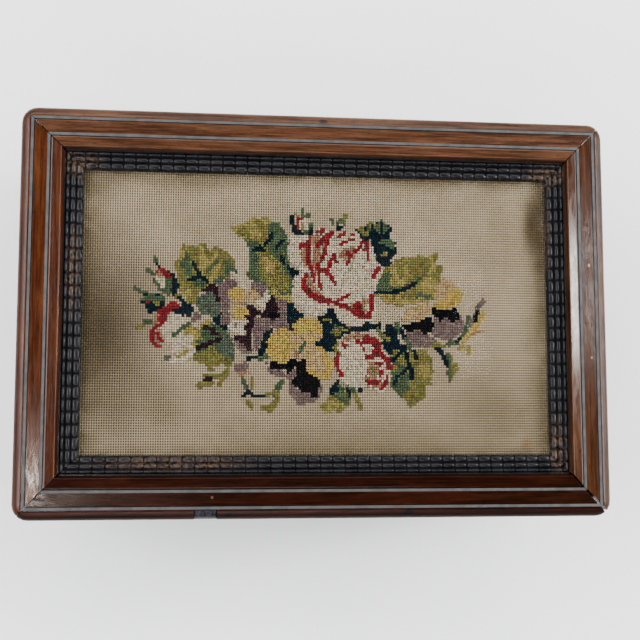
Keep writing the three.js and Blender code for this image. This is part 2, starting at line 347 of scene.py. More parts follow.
# Places where the black of the slips is rubbed brown: centre and reach in millimetres
RUBBED = [((-115, 70, 0), (14, 9)), ((115, 70, 0), (16, 8)), ((117, -66, 0), (6, 22)),
          ((-70, -72, 0), (50, 5)), ((112, 40, 0), (5, 30)), ((-118, 20, 0), (4, 30))]


def ebonised():
    """Pearwood stained black and polished: deep black with small soft glints, rubbed brown in places."""
    finish, tree, shader = blank_material("ebonised pearwood, polished")
    place = millimetres(tree)
    cloud = noise(tree, place, 5.0)
    black = mixed(tree, band(tree, cloud, 0.35, 0.7), "#0d0d10", "#18181b")
    rub = band(tree, noise(tree, place, 1.6), 0.42, 0.62)
    for centre, reach in RUBBED:
        share = calc(tree, "MULTIPLY", calc(tree, "MULTIPLY", spot(tree, centre, reach, 0.2), rub), 0.5)
        black = mixed(tree, share, black, "#5a4431")
    scuff = noise(tree, place, 0.5)
    shade(tree, shader, black, scuff, 0.3, 0.1, Roughness=band(tree, scuff, 0.35, 0.65, 0.18, 0.34),
          Specular_IOR_Level=0.14)
    return finish


def stopping_wax():
    """Hard wax run into an old repair: blue-black and dull, combed into streaks by the scraper."""
    finish, tree, shader = blank_material("stopping wax, scraped")
    comb = noise(tree, millimetres(tree), 0.8, (1, 0.12, 1), 2.0)
    dark = mixed(tree, band(tree, comb, 0.42, 0.62), "#100e14", "#2c2830")
    shade(tree, shader, dark, comb, 0.5, 0.2, Roughness=0.45, Specular_IOR_Level=0.12)
    return finish


# Soiled places on the canvas: centre and reach in millimetres, colour and strength
SOILED = [((107.5, 46, 0), (7, 22), "#463823", 0.9), ((112, 40, 0), (7, 56), "#544630", 0.7),
          ((103, -63, 0), (5, 5), "#8a6030", 0.6),
          ((-110, 62, 0), (26, 12), "#5d5236", 0.6), ((-60, 64, 0), (40, 8), "#75684a", 0.5),
          ((-106, -8, 0), (46, 74), "#483e2b", 0.95), ((-90, -50, 0), (50, 34), "#5d523c", 0.25),
          ((0, -62, 0), (150, 62), "#6f6148", 0.35),
          ((-75, -48, 0), (12, 18), "#5f5a3c", 0.25), ((20, -64, 0), (110, 14), "#6f6148", 0.35),
          ((88, -46, 0), (44, 34), "#63563e", 0.45)]


def canvas_cotton():
    """Stiffened cotton canvas: pale twisted threads browned by dust along the frame, and painted shade low in the
    weave.
    """
    finish, tree, shader = blank_material("cotton canvas, aged")
    place = millimetres(tree)
    age = noise(tree, place, 26.0, detail=4.0, rough=0.6)
    pale = mixed(tree, band(tree, age, 0.35, 0.68), "#b3a38a", "#a2937a")
    pale = mixed(tree, band(tree, noise(tree, place, 1.4, detail=2.0), 0.35, 0.7, 0.0, 0.3), pale, "#85765c")
    from_end, from_side = insets(tree)
    ends = band(tree, from_end, 29.0, 44.0, 0.8, 0.0)
    sides = band(tree, from_side, 29.0, 38.0, 0.65, 0.0)
    patchy = band(tree, noise(tree, place, 11.0), 0.3, 0.62, 0.25, 1.0)
    pale = mixed(tree, calc(tree, "MULTIPLY", calc(tree, "MAXIMUM", ends, sides), patchy), pale, "#6f6144")
    for centre, reach, tint, share in SOILED:
        pale = mixed(tree, calc(tree, "MULTIPLY", spot(tree, centre, reach), share), pale, tint)
    # Painted shade: the threads darken towards the backing, down in the hollows of the weave
    pale = mixed(tree, band(tree, over_backing(tree), 0.13, 0.6, 0.92, 0.0), pale, "#2c2418")
    twist = noise(tree, place, 0.22, detail=2.0)
    shade(tree, shader, pale, twist, 0.5, 0.06, Roughness=0.9, Specular_IOR_Level=0.1)
    return finish


def wool():
    """Berlin wool: soft matt yarn, whose dye differs a little from stitch to stitch."""
    finish, tree, shader = blank_material("Berlin wool, dyed")
    dye = tree.nodes.new("ShaderNodeAttribute")
    dye.attribute_name = "dye"
    ply = noise(tree, millimetres(tree, math.radians(45)), 0.45, (1, 3, 1), 2.0)
    shaded = mixed(tree, band(tree, ply, 0.35, 0.7, 0.0, 0.4), dye.outputs["Color"], "#6a665f", "MULTIPLY")
    dust = noise(tree, millimetres(tree), 18.0)
    shaded = mixed(tree, band(tree, dust, 0.4, 0.8, 0.0, 0.015), shaded, "#8d7f66")
    # Painted shade: each stitch darkens towards its foot, down in the weave
    shaded = mixed(tree, band(tree, over_backing(tree), 0.58, 1.0, 0.95, 0.0), shaded, "#2e2a24", "MULTIPLY")
    shade(tree, shader, shaded, ply, 0.5, 0.1, Roughness=0.95, Specular_IOR_Level=0.05)
    return finish


def deal():
    """Bare deal gone brown with age: soft straight grain, dry and dull."""
    finish, tree, shader = blank_material("deal, bare and browned")
    place = millimetres(tree)
    ring = noise(tree, place, 2.0, (0.025, 1, 1), 3.0, 0.5, 0.4)
    fibre = noise(tree, place, 0.35, (0.02, 1, 1), 2.0)
    wood = mixed(tree, band(tree, ring, 0.35, 0.65), "#2e2015", "#20160e")
    wood = mixed(tree, band(tree, fibre, 0.4, 0.7, 0.0, 0.4), wood, "#150e09")
    shade(tree, shader, wood, fibre, 0.4, 0.1, Roughness=0.85, Specular_IOR_Level=0.1)
    return finish


def window_glass():
    """Old thin sheet glass: clear, with slow ripples that bend its gloss."""
    finish, tree, shader = blank_material("sheet glass, clear")
    drawn = noise(tree, millimetres(tree), 22.0, (1, 0.4, 1), 1.0)
    shade(tree, shader, paint("#f4f8f5"), drawn, 0.3, 0.15, Roughness=0.04, Alpha=0.22, IOR=1.5,
          Transmission_Weight=1.0)
    return finish


def floor_paint():
    """Pale matt floor, faintly mottled."""
    finish, tree, shader = blank_material("distemper, pale")
    mottle = noise(tree, millimetres(tree), 180.0, detail=2.0)
    tone = mixed(tree, band(tree, mottle, 0.3, 0.7), "#fafbfc", "#f3f5f6")
    shade(tree, shader, tone, mottle, 0.1, 0.5, Roughness=0.8)
    return finish


# Marks on the rails, centre and reach in millimetres: a stain, a bruise, a scratch and a streak in front, a knot
# at the back, two pale spots at the right painted as the highlights of dents, an amber streak along its outer
# edge and a dark streak
FRONT_MARKS = [((42.3, -95.0, 0), (3.1, 2.2), "#0a0608"), ((-43.3, -95.5, 0), (2.0, 1.3), "#0c0506"),
               ((-51.2, -87.6, 0), (0.8, 0.9), "#4a3227"), ((106.5, -94.0, 0), (7.0, 1.8), "#160b08")]
BACK_MARKS = [((1.4, 94.5, 0), (3.0, 1.4), "#1c0e09")]
# The first two right marks are painted highlights, pale where dents catch the light
RIGHT_MARKS = [((134.6, 25.5, 0), (0.7, 1.0), "#94806c"), ((134.8, -20.5, 0), (0.6, 0.8), "#7a6552"),
               ((143.6, 20.0, 0), (1.6, 28.0), "#94560f"), ((141.0, 62.0, 0), (1.8, 22.0), "#241106")]


# Ripple slip

def slip_stations():
    """Places across the slip from the rail to the glass, each with its height and its share of the ripple."""
    stations = [(0.0, SLIP_FILLET_HEIGHT, 0.0), (SLIP_FILLET_WIDTH * 0.75, SLIP_FILLET_HEIGHT, 0.0)]
    start = SLIP_FILLET_WIDTH
    for width, crest, groove in SLIP_ROWS:
        stations.append((start + SLIP_GROOVE / 2, groove - SLIP_GROOVE_DROP, 0.3))
        for step in range(ROW_STEPS + 1):
            way = step / ROW_STEPS
            bulge = math.sin(math.pi * (ROW_ENDS + (1 - 2 * ROW_ENDS) * way)) ** ROW_FULLNESS
            place = start + SLIP_GROOVE + (width - SLIP_GROOVE) * way
            stations.append((place, groove + (crest - groove) * bulge, 1.0))
        start += width + SLIP_GROOVE
    stations.append((start + SLIP_GROOVE * 0.6, SLIP_EDGE + 0.4, 0.2))
    stations.append((start + SLIP_GROOVE, SLIP_EDGE, 0.0))
    return stations


def one_ripple():
    """One wave of the slip between two narrow valleys: a grid whose points take the moulding's height."""
    stations = slip_stations()
    last = len(stations) - 1
    bpy.ops.object.select_all(action="DESELECT")
    bpy.ops.mesh.primitive_grid_add(x_subdivisions=RIPPLE_STEPS, y_subdivisions=last, size=1.0)
    wave = named("ripple")
    for vertex in wave.data.vertices:
        step = round((vertex.co.x + 0.5) * RIPPLE_STEPS)
        place, height, share = stations[round((vertex.co.y + 0.5) * last)]
        swell = abs(math.sin(math.pi * step / RIPPLE_STEPS)) ** RIPPLE_FULLNESS
        rise = height - share * RIPPLE_DEPTH * (1 - swell)
        vertex.co = (RIPPLE_PITCH * step / RIPPLE_STEPS, place * MM, SLIP_SEAT + rise * MM)
    return wave


def ripple_slip(side, finish):
    """Waves in a row, cut off at both mitres, with plain sides and a flat back against the glass."""
    upright = side in ("left", "right")
    half, reach = (LID_WIDTH / 2, LID_LENGTH / 2) if upright else (LID_LENGTH / 2, LID_WIDTH / 2)
    inset = SLIP_OUTSIDE + LID_WIDTH / 2
    waves = 2 * math.ceil(half / RIPPLE_PITCH)
    slip = one_ripple()
    slip.name = slip.data.name = "slip_" + side
    repeat(slip, waves, (RIPPLE_PITCH, 0, 0))
    slip.location = (-waves / 2 * RIPPLE_PITCH, inset - reach, 0)
    settle(slip)
    mitre = half - reach - SLIP_MITRE_GAP / math.sqrt(2)
    for way in (1, -1):
        edit(slip)
        bpy.ops.mesh.bisect(plane_co=(way * mitre, 0, 0), plane_no=(way, 1, 0), clear_outer=True)
        leave_edit()
    edit(slip)
    select_rims()
    bpy.ops.mesh.extrude_region_move(TRANSFORM_OT_translate={"value": (0, 0, -10 * MM)})
    bpy.ops.transform.resize(value=(1, 1, 0), center_override=(0, 0, SLIP_SEAT))
    bpy.ops.mesh.edge_face_add()
    face_outwards()
    slip.rotation_euler.z = math.radians(SIDES[side])
    smooth(slip, 50)
    finish_piece(slip, finish, "ebonised_wood", "ripple_slip_" + side)


# Canvas

def thread_part(pitch, offset, dips_in_middle):
    """A three-sided stretch of thread over two crossings, up over one of them and down under the other."""
    bpy.ops.object.select_all(action="DESELECT")
    bpy.ops.mesh.primitive_cylinder_add(vertices=3, radius=THREAD_WIDTH / math.sqrt(3), depth=2 * pitch,
                                        end_fill_type="NOTHING", rotation=(math.radians(90), 0, 0))
    thread = named("thread")
    settle(thread)
    low = min(v.co.z for v in thread.data.vertices)
    high = max(v.co.z for v in thread.data.vertices)
    edit(thread)
    bpy.ops.mesh.bisect(plane_co=(0, 0, 0), plane_no=(0, 1, 0))
    bpy.ops.mesh.select_all(action="SELECT")
    bpy.ops.transform.resize(value=(1, 1, THREAD_HEIGHT / (high - low)), center_override=(0, 0, low))
    bpy.ops.transform.translate(value=(offset, 0, -low))
    leave_edit()
    edit(thread, lambda place: (abs(place.y) < pitch / 2) != dips_in_middle)
    bpy.ops.transform.translate(value=(0, 0, 2 * THREAD_WAVE))
    leave_edit()
    return thread


def woven(name, along, across, pitch_along, pitch_across, first_dips, turn, finish):
    """All threads of one direction: a pair of opposite phase, repeated along and across, with closed ends."""
    first = thread_part(pitch_along, 0, first_dips)
    second = thread_part(pitch_along, pitch_across, not first_dips)
    wake(first)
    second.select_set(True)
    bpy.ops.object.join()
    threads = named(name)
    crossings = 2 * math.floor((along / 2 - CANVAS_MARGIN) / (2 * pitch_along))
    pairs = 2 * math.floor((across / 2 - CANVAS_MARGIN) / (2 * pitch_across))
    repeat(threads, crossings, (0, 2 * pitch_along, 0))
    repeat(threads, pairs, (2 * pitch_across, 0, 0))
    edit(threads)
    select_rims()
    bpy.ops.mesh.fill_holes(sides=3)
    face_outwards()
    threads.location = ((1 - pairs) * pitch_across, (1 - crossings) * pitch_along, CANVAS_LOW.z + THREAD_FLOAT)
    settle(threads)
    threads.rotation_euler.z = math.radians(turn)
    smooth(threads, 80)
    finish_piece(threads, finish, "canvas_work")
    return threads


# Bouquet, worked like a printed chart: every place is counted in crossings from the middle of the canvas

DYES = {
    "cream": "#a59781", "rose": "#7e5e49", "madder": "#681a20", "night": "#04161f",
    "leaf": "#3d4b35", "olive": "#625d31", "gold": "#7d713e", "yellow": "#97803f",
    "peach": "#957c58", "plum": "#211218", "mauve": "#5f4f4b", "black": "#04050a", "sage": "#424a3e",
}
# Night is a green near black, leaf, sage and olive are greens, and rose is the dusty shade of the folds
BARE = -1
SEED = 11
RAGGED = 1.3
column, row = np.meshgrid(np.arange(-WINDOW_COLUMNS, WINDOW_COLUMNS + 1),
                          np.arange(-WINDOW_ROWS, WINDOW_ROWS + 1))
chart = np.full(column.shape, BARE)
chance = np.random.default_rng(SEED)


def clouds(size):
    """Soft random patches about size crossings across, spread evenly between nothing and one."""
    coarse = chance.random((chart.shape[0] // size + 3, chart.shape[1] // size + 3))
    down = np.linspace(0, coarse.shape[0] - 1.01, chart.shape[0])
    over = np.linspace(0, coarse.shape[1] - 1.01, chart.shape[1])
    i = down.astype(int)
    j = over.astype(int)
    u = (down - i)[:, None]
    v = (over - j)[None, :]
    near = coarse[i][:, j] * (1 - u) + coarse[i + 1][:, j] * u
    far = coarse[i][:, j + 1] * (1 - u) + coarse[i + 1][:, j + 1] * u
    field = near * (1 - v) + far * v
    return field.argsort(axis=None).argsort().reshape(field.shape) / field.size


patches = clouds(3)
ragged_column = column + RAGGED * (clouds(2) - 0.5)
ragged_row = row + RAGGED * (clouds(2) - 0.5)


def work(dye, crossings, within=None, share=1.0):
    """Stitches the crossings in one dye; a share under one leaves patches of what was there before."""
    if within is not None:
        crossings = crossings & within
    chart[crossings & (patches > 1 - share)] = list(DYES).index(dye)
    return crossings


def fill(dye, *points, within=None, share=1.0):
    """Works the inside of a loop of points, with a slightly ragged edge."""
    inside = np.zeros(chart.shape, bool)
    for (x0, y0), (x1, y1) in zip(points, points[1:] + points[:1]):
        if y0 != y1:
            beside = (y0 > ragged_row) != (y1 > ragged_row)
            inside ^= beside & (ragged_column < (x1 - x0) * (ragged_row - y0) / (y1 - y0) + x0)
    return work(dye, inside, within, share)


def oval(dye, middle, across, up, turn=0):
    """Works an oval turned to the left by degrees."""
    x = ragged_column - middle[0]
    y = ragged_row - middle[1]
    cos = math.cos(math.radians(turn))
    sin = math.sin(math.radians(turn))
    inside = ((x * cos + y * sin) / across) ** 2 + ((y * cos - x * sin) / up) ** 2 < 1
    return work(dye, inside)


def line(dye, width, *points):
    """Works a line of stitches through the points."""
    near = np.zeros(chart.shape, bool)
    for (x0, y0), (x1, y1) in zip(points, points[1:]):
        length = (x1 - x0) ** 2 + (y1 - y0) ** 2
        way = np.clip(((column - x0) * (x1 - x0) + (row - y0) * (y1 - y0)) / length, 0, 1)
        near |= np.hypot(column - x0 - way * (x1 - x0), row - y0 - way * (y1 - y0)) < width / 2
    work(dye, near)


def lines(dye, *strokes):
    """Works several lines in one dye, each given by its width and its points."""
    for width, *points in strokes:
        line(dye, width, *points)


def upper_leaves():
    top = fill("olive", (-38, 33.5), (-32, 36.5), (-27.5, 39), (-25.5, 37), (-22.5, 39), (-20, 36), (-17, 36),
               (-14, 31), (-13.5, 24.5), (-29, 25), (-31, 28.5))
    work("gold", top, share=0.35)
    fill("gold", (-31, 34), (-27, 35), (-25, 31), (-26, 29), (-29, 30.5))
    fill("leaf", (-20.5, 36), (-17, 36), (-14, 31), (-13, 24.5), (-21, 25), (-22, 28))
    fill("leaf", (-31, 29), (-28, 29), (-25, 27), (-25, 24.5), (-29, 24.5))
    fill("night", (-28.5, 25), (-26, 27.2), (-25, 27), (-22.5, 25))
    line("night", 1.6, (-23, 27), (-21.5, 29), (-20, 31.5))
    line("night", 1.5, (-18, 26), (-15.5, 29))
    low = fill("leaf", (-29.5, 25), (-14, 24.5), (-12, 20), (-11, 13), (-12, 5), (-16, 4), (-21.5, 7.5),
               (-23, 11.5), (-29.5, 13))
    fill("olive", (-26, 25), (-21, 25), (-13, 15), (-12, 9), (-21, 9), (-25, 16), within=low)
    fill("gold", (-25, 23), (-21, 23), (-17, 19), (-14, 14), (-18, 13), (-23, 18), share=0.6)
    fill("gold", (-21, 10), (-16, 8), (-12.5, 8), (-12, 5.5), (-15, 4.5), (-20, 7))
    fill("night", (-12.5, 19), (-8, 17.5), (-9.5, 15.5), (-12, 13.5))
    line("night", 1.6, (-16, 23), (-15, 20.5))


def left_leaf():
    leaf = fill("olive", (-60, 20), (-58.5, 25), (-57, 27.5), (-53, 26), (-49, 27.5), (-46, 25), (-43, 26.5),
                (-39, 24), (-35.5, 20.5), (-35, 15.5), (-39, 14), (-43, 10.5), (-46, 11), (-50, 8), (-48, 4),
                (-50, 2.5), (-54, 4), (-58, 8), (-60, 13))
    work("gold", leaf, share=0.25)
    fill("leaf", (-57, 24), (-54, 22), (-52.5, 17), (-53, 14.5), (-56, 14.5), (-58, 18))
    fill("leaf", (-39, 21.5), (-35.5, 19), (-35, 15), (-39, 14.5), (-41, 17))
    fill("sage", (-44, 15), (-39, 14.5), (-42, 10.5), (-45, 11.5))
    fill("leaf", (-53, 13), (-50, 14), (-47, 12.5), (-49, 10), (-53, 10.5))
    fill("gold", (-50, 21), (-45, 22), (-42, 19), (-42, 14), (-46, 11.5), (-48, 15), share=0.75)
    line("leaf", 1.4, (-43, 20.5), (-45, 19), (-47, 16))
    lines("night", (1.6, (-53, 20), (-51.5, 17), (-50, 14.5), (-47, 12.5)),
          (1.4, (-55, 13), (-52, 13.6), (-50, 14.5)))
    fill("sage", (-51, 6.5), (-48, 7), (-46, 9), (-44, 8), (-41, 3), (-43, -1), (-50, 0), (-51, 3))
    fill("plum", (-50, 8), (-46, 11.3), (-42.5, 10), (-41, 7), (-38.5, 5), (-39, 2), (-41, 1), (-41, 4),
         (-44, 5.5), (-44, 8), (-47, 8.5))
    fill("mauve", (-54, -1), (-50.5, 0.5), (-49, -2), (-52, -3.5))
    fill("night", (-45, -1), (-41, 0.5), (-41, -3), (-38, -7), (-41, -6.5), (-44, -4))


def upper_left_bud():
    line("leaf", 1.6, (-69, 22), (-68, 19))
    line("night", 1.4, (-68, 19), (-66.5, 17.5))
    line("leaf", 1.6, (-72, 17), (-69.5, 15))
    fill("cream", (-69, 14), (-65, 13.5), (-65, 9), (-66.5, 9.5), (-69, 13))
    fill("madder", (-68.5, 15.5), (-66.5, 17.5), (-64, 17), (-61.5, 13), (-64, 13.2), (-66, 15), (-69, 13.8))
    work("rose", np.hypot(column + 67, row - 15) < 1.3)
    fill("leaf", (-64.5, 12.8), (-61.5, 12.5), (-61, 8), (-64, 7.5))
    line("leaf", 1.5, (-69, 12.5), (-66.5, 9.3), (-63, 7.5))
    fill("night", (-63, 17), (-60.5, 15), (-59.3, 11), (-59, 7), (-61.5, 6.5), (-61.5, 12.5))
    line("olive", 2.0, (-59.5, 6.5), (-58, 6))


def lower_left_bud():
    line("leaf", 1.5, (-77, 9.5), (-74.5, 8), (-72, 7.5))
    cup = fill("night", (-75.5, 4), (-73, 7.2), (-66, 7.2), (-64.8, 5.5), (-66, 0.5), (-71.5, 0), (-73.5, 2.5))
    fill("olive", (-70.5, 5.5), (-67, 5.5), (-66.5, 3.2), (-69.5, 3), within=cup)
    work("leaf", cup & (row > 4.5), share=0.5)
    fill("rose", (-73, 5.2), (-71, 5), (-70.3, 3.5), (-72.5, 3.2))
    line("madder", 1.2, (-72.2, 4), (-71.5, 4))


def half_open_rose():
    fill("cream", (-66, -6), (-63.5, -2.5), (-61, -0.5), (-57, -2), (-54, -2), (-56, -6), (-53, -9), (-53.5, -12),
         (-51, -12.5), (-51, -15), (-54, -18.5), (-59, -20.5), (-62, -19), (-61, -14), (-64, -10))
    line("rose", 2.2, (-67.5, -1.5), (-68.3, -5))
    fill("rose", (-68.5, -8), (-66, -7), (-65, -10), (-66, -12.5), (-68.5, -12))
    fill("madder", (-66.8, -4), (-66.8, 0.5), (-64, 3.5), (-60.5, 4.4), (-57, 3), (-59.5, 1.2), (-62, 0.3),
         (-64.8, -4.5))
    lines("madder", (1.7, (-66.5, -4.8), (-69, -6), (-69.8, -9), (-69, -11.5)),
          (1.5, (-67.5, -8), (-66, -10.5), (-65.3, -11)), (1.4, (-68, -12.5), (-66, -13)))
    fill("night", (-61.5, 0.3), (-58, 2.5), (-57, 4.2), (-54, 4), (-52.5, 2.5), (-54, 0), (-57.5, -2))
    line("night", 1.4, (-58.5, 6), (-55.5, 3.5))
    line("leaf", 1.6, (-54.5, -4.5), (-57.5, -6), (-60.5, -8.5))
    fill("gold", (-57, -7), (-53, -4.5), (-50, -5.5), (-49.5, -9), (-52, -13), (-54, -12.5), (-52.5, -9))
    fill("yellow", (-54, -6), (-51.5, -5.5), (-51, -9), (-53, -9), share=0.7)
    line("gold", 1.4, (-55, -14.5), (-58.5, -17))
    fill("gold", (-50, -3), (-47, -2.3), (-44.8, -3.5), (-46, -5.2), (-49, -5))
    line("leaf", 2.0, (-73, -4), (-70, -3.5))
    line("olive", 1.3, (-76, -6), (-73, -5))
    line("sage", 1.6, (-64, -17.8), (-62.5, -16.8))


def grey_pansy():
    """A pansy in mauve and plum with three pale yellow petals near its heart."""
    fill("mauve", (-43, 8), (-41, 12), (-38, 14), (-34.5, 12), (-37, 8), (-38, 2), (-38, -5), (-41.5, -4),
         (-41, 2))
    fill("mauve", (-29, 9.5), (-28, 12.3), (-24, 12), (-22, 10), (-22.5, 6), (-26, 7))
    fill("cream", (-38.5, 15.8), (-34.5, 15.8), (-31, 12.5), (-29.5, 9.5), (-32.5, 9), (-34, 12), (-36.5, 14.3))
    fill("cream", (-26, 4.2), (-23.5, 6), (-22.6, 9.5), (-21.2, 9.5), (-21.2, 2), (-24, 2.5))
    fill("mauve", (-19, 6), (-14, 6), (-12.5, 2), (-12.5, -6), (-15, -6.5), (-20, -5), (-23, -10), (-25.5, -14),
         (-28.5, -13.5), (-28, -1), (-20, -1))
    fill("mauve", (-35.5, -10), (-30, -12), (-28.8, -15), (-33, -15), (-35.5, -12))
    fill("plum", (-31, 3.2), (-27, 3.3), (-23, 0.8), (-24, -0.8), (-27.5, -1), (-28, -6), (-29.3, -10),
         (-29, -14.3), (-31, -13.7), (-34.5, -10.5), (-35, -8.3), (-31, -8), (-30.5, -3))
    fill("plum", (-22, 4), (-20.5, 7), (-18.5, 5), (-17, 2), (-16.2, -1), (-20, -2.7), (-23.5, -0.5),
         (-21.5, 1.5))
    line("black", 1.8, (-21, -0.8), (-17, -0.5))
    for middle, across, up in (((-34.5, 7.5), 3.6, 3.2), ((-27.6, 6.7), 2.8, 2.9), ((-33.8, 0.2), 3.8, 3.1)):
        petal = oval("yellow", middle, across, up)
        work("peach", petal, share=0.4)
    line("rose", 1.0, (-36, 4), (-31, 4))
    fill("cream", (-37, -2.6), (-30.5, -2.6), (-31, -7.8), (-38, -7.5), (-39.5, -5))
    line("mauve", 1.2, (-35.3, -4), (-34.5, -5.5))


def lower_left_leaves():
    leaf = fill("leaf", (-50.5, -9), (-49, -5.5), (-45, -3.5), (-41, -6), (-38, -8), (-36, -11), (-35.5, -18),
                (-37, -20.5), (-43, -20), (-45.5, -23), (-48, -20), (-52, -18), (-51, -13))
    fill("olive", (-52, -18), (-50, -14.5), (-44, -14), (-38, -17), (-36, -20.5), (-41, -20), (-45, -22.8),
         (-48, -20), within=leaf)
    fill("sage", (-42, -8), (-38, -8.5), (-35.5, -11), (-35.5, -17), (-41, -14), within=leaf)
    work("olive", leaf, share=0.15)
    lines("plum", (1.7, (-51, -13.5), (-47, -12.2), (-43.5, -10.8), (-41, -10)),
          (1.7, (-47.5, -5.5), (-44.5, -6.5)), (1.3, (-45, -8.3), (-42.5, -8)))
    lines("olive", (1.7, (-48, -24.3), (-41, -24.2), (-38, -21.5)), (1.7, (-42, -28), (-40, -25.5), (-38, -23)))
    fill("olive", (-52, -28), (-49, -26.4), (-44, -26.5), (-45, -28.5), (-49, -29.6))
    line("plum", 1.6, (-47.5, -25.7), (-44.8, -25.8))
    bud = fill("mauve", (-35, -19.5), (-31, -19), (-30, -21.5), (-32, -24.7), (-35, -23))
    work("rose", bud & (row < -22))
    line("peach", 1.2, (-30, -22), (-28.5, -23.5))
    line("leaf", 1.8, (-32, -25.5), (-30.5, -29))
    line("olive", 1.9, (-28, -25.5), (-28, -29))
    line("night", 1.9, (-31.5, -32), (-29.5, -30), (-27.5, -32), (-22.5, -32))
    line("olive", 1.9, (-30, -34), (-28, -36.5))
    line("leaf", 2.6, (-15.5, -26.5), (-17.5, -28.8), (-18, -32))
    line("olive", 2.4, (-17.5, -32), (-18, -34), (-20, -37), (-23.5, -36.5))
    line("olive", 1.6, (-22, -31.7), (-18, -30.5))


def upper_right_leaves():
    leaf = fill("night", (16, 33), (17, 35.8), (19, 35), (22.5, 38), (24.5, 36), (26.5, 39), (28.5, 37), (31, 35),
                (31, 31), (33, 29.5), (32.5, 25), (31, 22), (29, 19.3), (27, 19), (24.5, 23), (21.5, 29.5),
                (18, 30.5))
    fill("leaf", (20, 32.5), (20.5, 36), (22.5, 38.2), (24, 35.5), (23, 31.5), (21, 31), within=leaf)
    fill("leaf", (25, 32.5), (25.5, 37), (26.5, 39.2), (28.5, 37), (30.5, 35), (28.5, 32.5), within=leaf)
    fill("leaf", (25.5, 28.5), (28, 31.5), (32.8, 30), (32, 27.3), (28.5, 27.5), within=leaf)
    work("olive", leaf & (row > 27), share=0.12)
    lines("night", (1.2, (22.8, 36), (22.5, 32)), (1.2, (27, 37), (26.8, 33)), (1.2, (30, 33.5), (26, 31)))
    line("olive", 1.5, (27.5, 24), (28.5, 24.5))
    line("leaf", 1.3, (5.5, 38.5), (5.8, 36))
    line("leaf", 1.5, (8, 36), (9.5, 38), (11, 36.5))
    line("olive", 1.5, (10.8, 37), (11.6, 40))
    line("night", 1.8, (8, 34.6), (9.3, 34.8))


def top_bud():
    fill("cream", (-9, 37.8), (-4.5, 38), (-4, 34.5), (-6, 33.3), (-9, 34))
    lines("madder", (1.3, (-9.3, 37.5), (-9.2, 34.5)), (1.6, (-9, 38), (-7, 38.2)))
    line("olive", 1.4, (-7.2, 35.5), (-6.8, 34.3))
    line("night", 2.0, (-11.5, 38.3), (-11, 35.5), (-10, 33), (-7, 31.8))
    line("leaf", 1.8, (-6, 32.5), (-3.5, 33), (-3.3, 36))
    line("night", 1.8, (-3.2, 33.5), (-4, 31.8))
    lines("leaf", (1.3, (-7, 42), (-6.5, 39)), (1.3, (-4.5, 40.5), (-4.5, 38.5)))
    line("olive", 1.3, (-10, 40), (-9, 39))


def right_leaf():
    leaf = fill("olive", (22.5, 8.5), (25.5, 13), (27, 18), (29, 20), (32, 21.5), (36, 23), (42, 24), (47, 24.5),
                (50.5, 26.2), (51, 21), (53.3, 20), (52, 15), (51, 9.5), (47, 5), (40, 4), (30, 4), (26, 7))
    fill("leaf", (23, 9), (26, 14), (29, 18), (36, 15), (39, 12), (35, 10), within=leaf)
    work("gold", leaf & (column > 30), share=0.3)
    fill("gold", (25, 8), (33, 8.5), (41, 12), (46, 16), (49, 19), (50, 10), (45, 5), (30, 4),
         within=leaf, share=0.7)
    fill("leaf", (40, 10), (48, 8), (47, 6.5), (40, 8), within=leaf, share=0.5)
    line("night", 1.6, (22.5, 8.8), (30, 8.8), (35, 10), (38, 11), (42.5, 13.8))
    line("leaf", 1.2, (42.5, 13.8), (45.5, 16.5))


def yellow_pansy_at_the_right():
    """A pansy seen from its side: yellow above, black in the middle and mauve below."""
    fill("peach", (49.5, 6), (50, 12), (54, 14.7), (59, 14), (61, 11), (56, 9))
    fill("yellow", (50, 5), (54, 7), (57, 11), (61, 12), (62.7, 8), (60.5, 3.5), (49, 3))
    side = fill("peach", (36, -2.5), (37, 3), (45, 4), (48.5, 5.5), (47.5, 1.5), (44.5, -1.5))
    work("yellow", side & (column > 41), share=0.4)
    fill("mauve", (49, -1), (55, -1), (60, 0.8), (63, -2), (62, -6), (59, -9.3), (53, -9), (49, -7))
    fill("mauve", (37, -5), (43, -5), (45, -8), (50, -8), (50, -10.5), (46, -12.5), (41, -12.5), (37, -9))
    fill("black", (47.5, 1.5), (48, 3.5), (50.5, 3.6), (55, 2.7), (60, 3.2), (60, 0.5), (57.7, -3), (55.5, -0.7),
         (53, -0.5), (52, -3.7), (50, -0.5))
    fill("black", (36.5, -3.3), (41, -2.7), (44.5, -1), (47.5, -0.3), (49.3, -3), (49, -7), (45, -8.2),
         (43.5, -5), (37, -6))


def right_stems():
    line("olive", 1.8, (48, -11.5), (53.5, -12))
    line("leaf", 2.2, (56, -11), (60, -10.3), (62.5, -8), (64, -4), (64.5, 0))
    line("night", 1.4, (59, -10), (61.5, -9.2))
    line("yellow", 2.6, (62, -10), (66, -6), (69, -2), (71, 1))
    line("gold", 2.0, (60.5, -13), (64.5, -12), (64.3, -15))
    line("rose", 1.0, (66, -7), (71, -5.5))
    line("mauve", 2.2, (65.5, -3), (67.5, 0), (69, 4), (71, 6))
    line("black", 1.8, (67.2, -2), (68.6, 2))
    leaf = fill("olive", (54.5, -14.5), (58, -16), (59.7, -20), (58.5, -25), (55.5, -27.3), (54.7, -20))
    work("leaf", leaf & (column < 57))
    line("night", 1.7, (50.5, -12.7), (53, -15), (54.7, -19.5))


